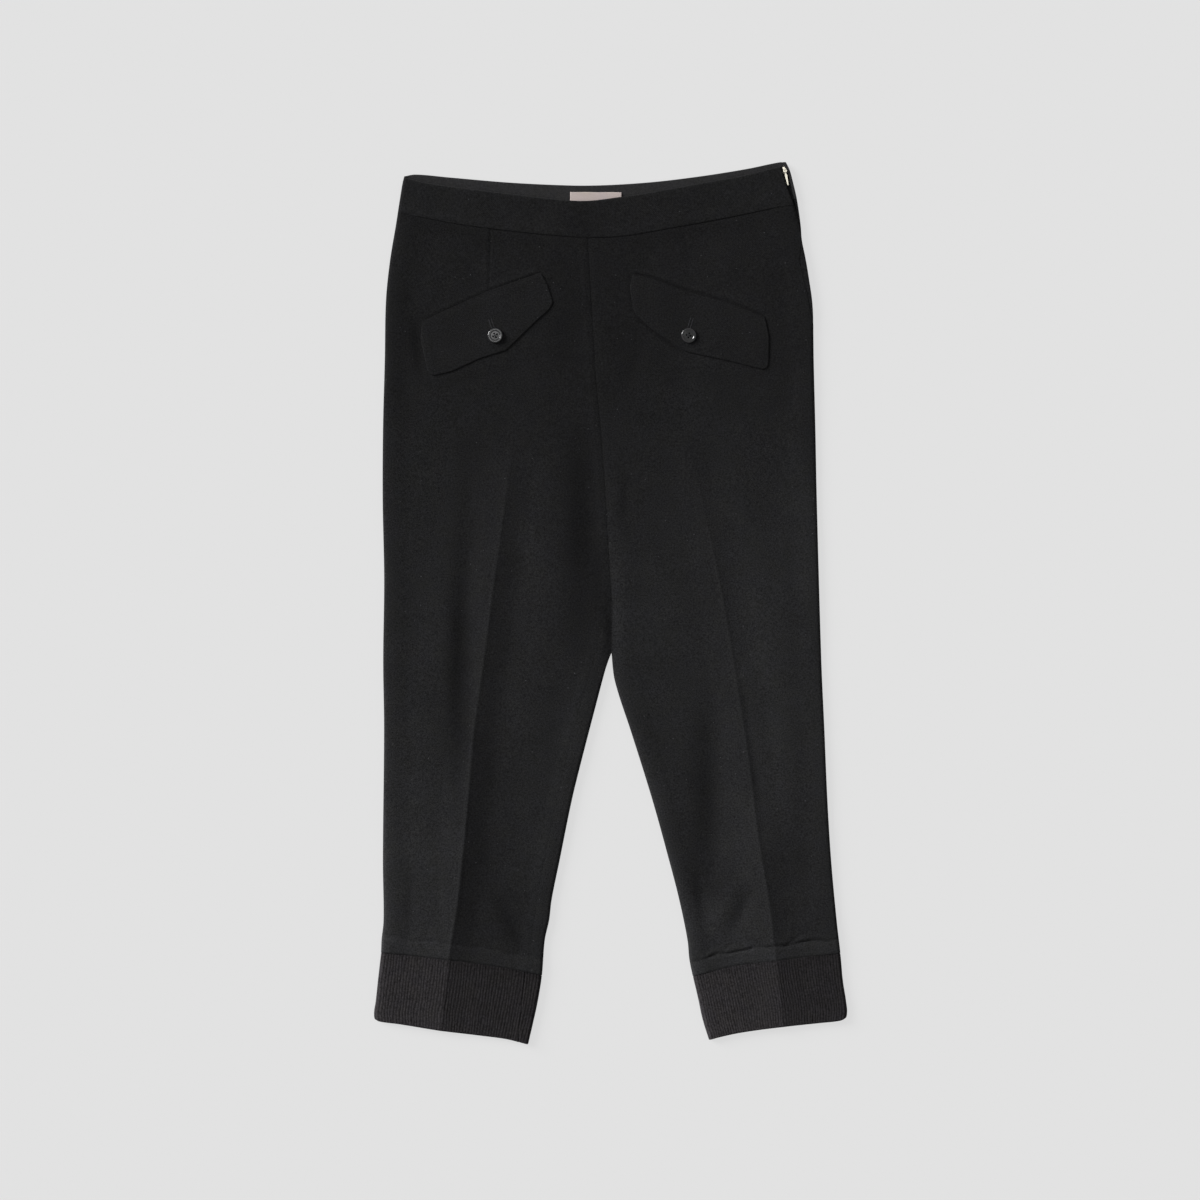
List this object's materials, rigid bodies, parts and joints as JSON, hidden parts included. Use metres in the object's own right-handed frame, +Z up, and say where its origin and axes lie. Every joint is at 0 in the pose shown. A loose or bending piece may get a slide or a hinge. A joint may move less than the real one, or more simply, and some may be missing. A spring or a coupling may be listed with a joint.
{
  "type": "cropped trousers with ribbed cuffs",
  "caption": "Cropped straight wool trousers laid flat, front up, with a plain waistband, shaped buttoned pocket flaps, a side zip and ribbed knit ankle cuffs.",
  "frame": {"origin": "on the surface that the trousers lie on, under the middle of their outline", "axes": "+Y towards the waist, +Z up out of the front, +X towards the wearer's left"},
  "size_m": [0.4734, 0.8832, 0.0102],
  "materials": {
    "wool": "near-black brushed wool twill with a soft nap",
    "knit": "brown-black rib knit, matt",
    "label": "taupe woven tape, bare",
    "button": "polished black",
    "zip_tape": "black woven tape",
    "zip_metal": "ivory enamel"
  },
  "bodies": {
    "garment": {"front_right": "wool", "front_left": "wool", "back_right": "wool", "back_left": "wool", "waistband_front": "wool", "waistband_back": "wool", "flap_right": "wool", "flap_left": "wool", "button_right": "button", "button_left": "button", "cuff_right": "knit", "cuff_left": "knit", "label": "label", "zip_tape": "zip_tape", "zip_slider": "zip_metal"},
    "pull_tab": {"zip_pull": "zip_metal"}
  },
  "joints": [
    {"name": "pull_tab_lift", "type": "hinge", "parent": "garment", "child": "pull_tab", "pos_m": [0.1747, 0.4316, 0.005], "axis": [-0.9781, -0.2079, 0], "range_deg": [0, 120]}
  ]
}
